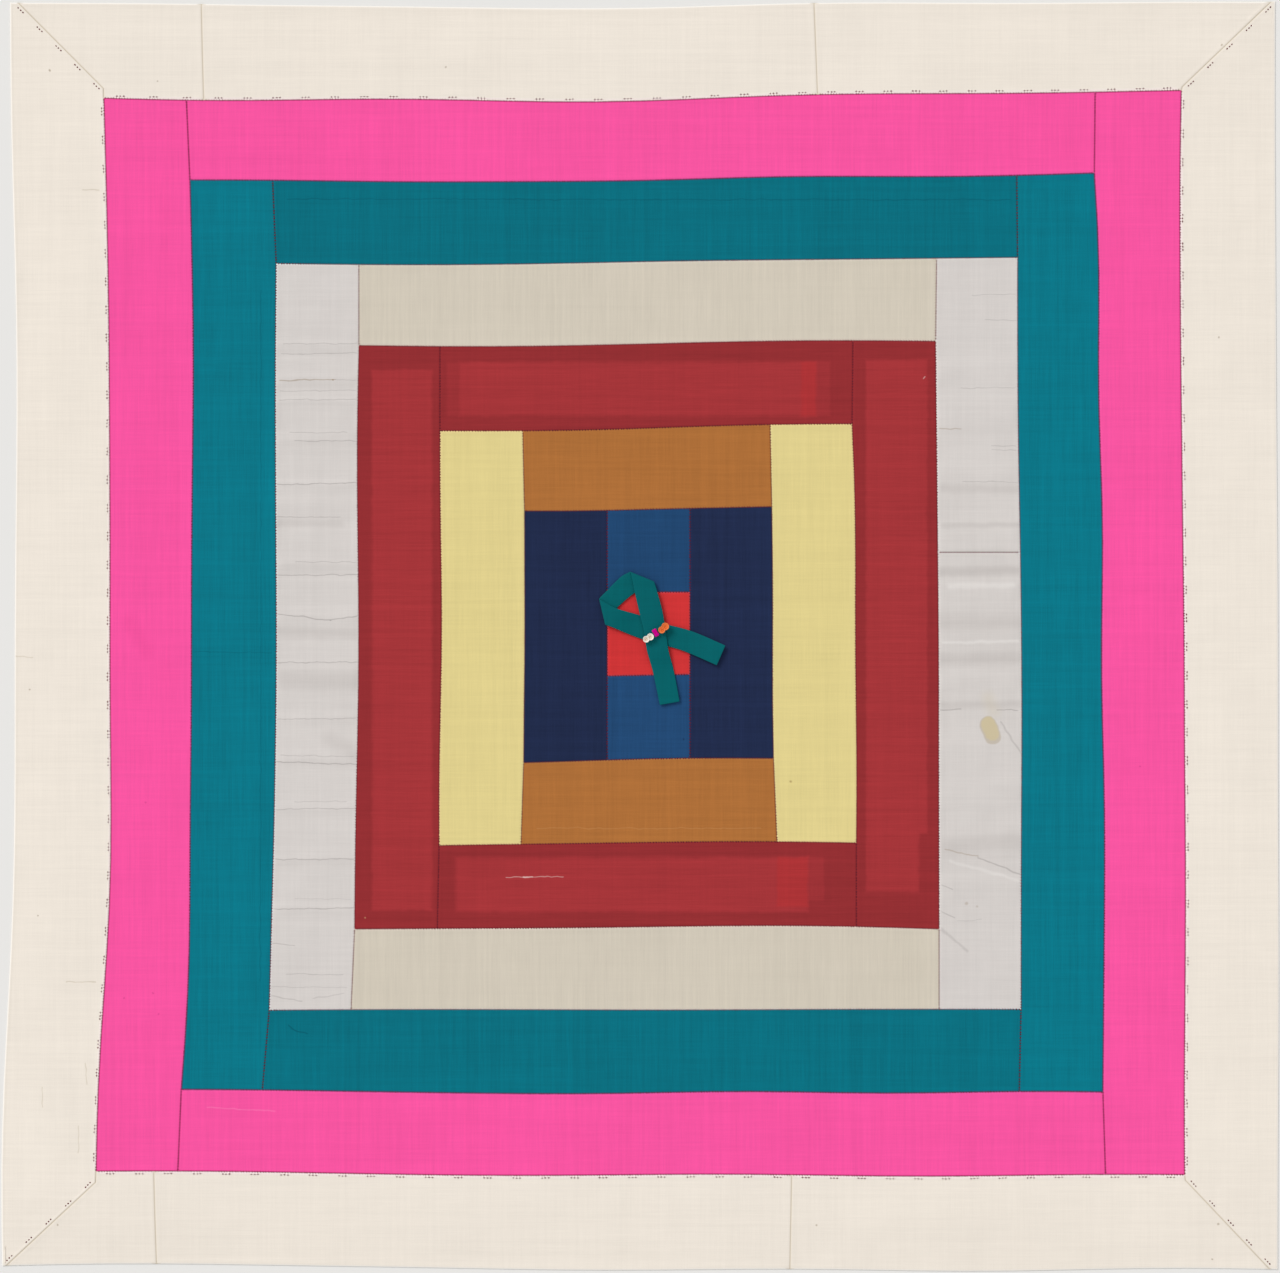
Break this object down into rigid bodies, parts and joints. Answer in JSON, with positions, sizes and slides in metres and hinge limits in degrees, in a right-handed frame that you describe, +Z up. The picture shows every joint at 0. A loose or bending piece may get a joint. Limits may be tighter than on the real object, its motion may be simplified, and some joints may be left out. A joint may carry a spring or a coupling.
{
  "type": "patchwork wrapping cloth",
  "caption": "Square pieced silk wrapping cloth laid flat: rings of coloured strips round a centre block, a mitred cream border, and a folded ribbon tie with small knots.",
  "frame": {"origin": "middle of the cloth, on the surface that it lies on", "axes": "+Z up through the cloth, +X to the right and +Y to the top of the cloth as it is seen from above"},
  "size_m": [0.7408, 0.7366, 0.0073],
  "materials": {
    "cream": "matt ribbed silk",
    "pink": "smooth silk",
    "teal": "ribbed silk",
    "grey": "creased satin",
    "beige": "streaked silk",
    "crimson": "sheer silk",
    "yellow": "ribbed silk",
    "ochre": "ribbed silk",
    "navy": "matt silk",
    "blue": "matt silk",
    "red": "matt silk",
    "ribbon": "matt silk",
    "white": "rolled silk",
    "magenta": "rolled silk",
    "orange": "rolled silk",
    "thread": "twisted silk thread"
  },
  "bodies": {
    "root": {"cream_left": "cream", "cream_right": "cream", "cream_top_left": "cream", "cream_top_middle": "cream", "cream_top_right": "cream", "cream_bottom_left": "cream", "cream_bottom_middle": "cream", "cream_bottom_right": "cream", "pink_left": "pink", "pink_right": "pink", "pink_top": "pink", "pink_bottom": "pink", "teal_left": "teal", "teal_right": "teal", "teal_top": "teal", "teal_bottom": "teal", "grey_left": "grey", "grey_right_upper": "grey", "grey_right_lower": "grey", "beige_top": "beige", "beige_bottom": "beige", "crimson_left": "crimson", "crimson_right": "crimson", "crimson_top": "crimson", "crimson_bottom": "crimson", "yellow_left": "yellow", "yellow_right": "yellow", "ochre_top": "ochre", "ochre_bottom": "ochre", "navy_left": "navy", "navy_right": "navy", "blue_top": "blue", "blue_bottom": "blue", "red_square": "red", "tie_ribbon": "ribbon", "knot_white": "white", "knot_magenta": "magenta", "knot_orange": "orange"}
  },
  "joints": []
}
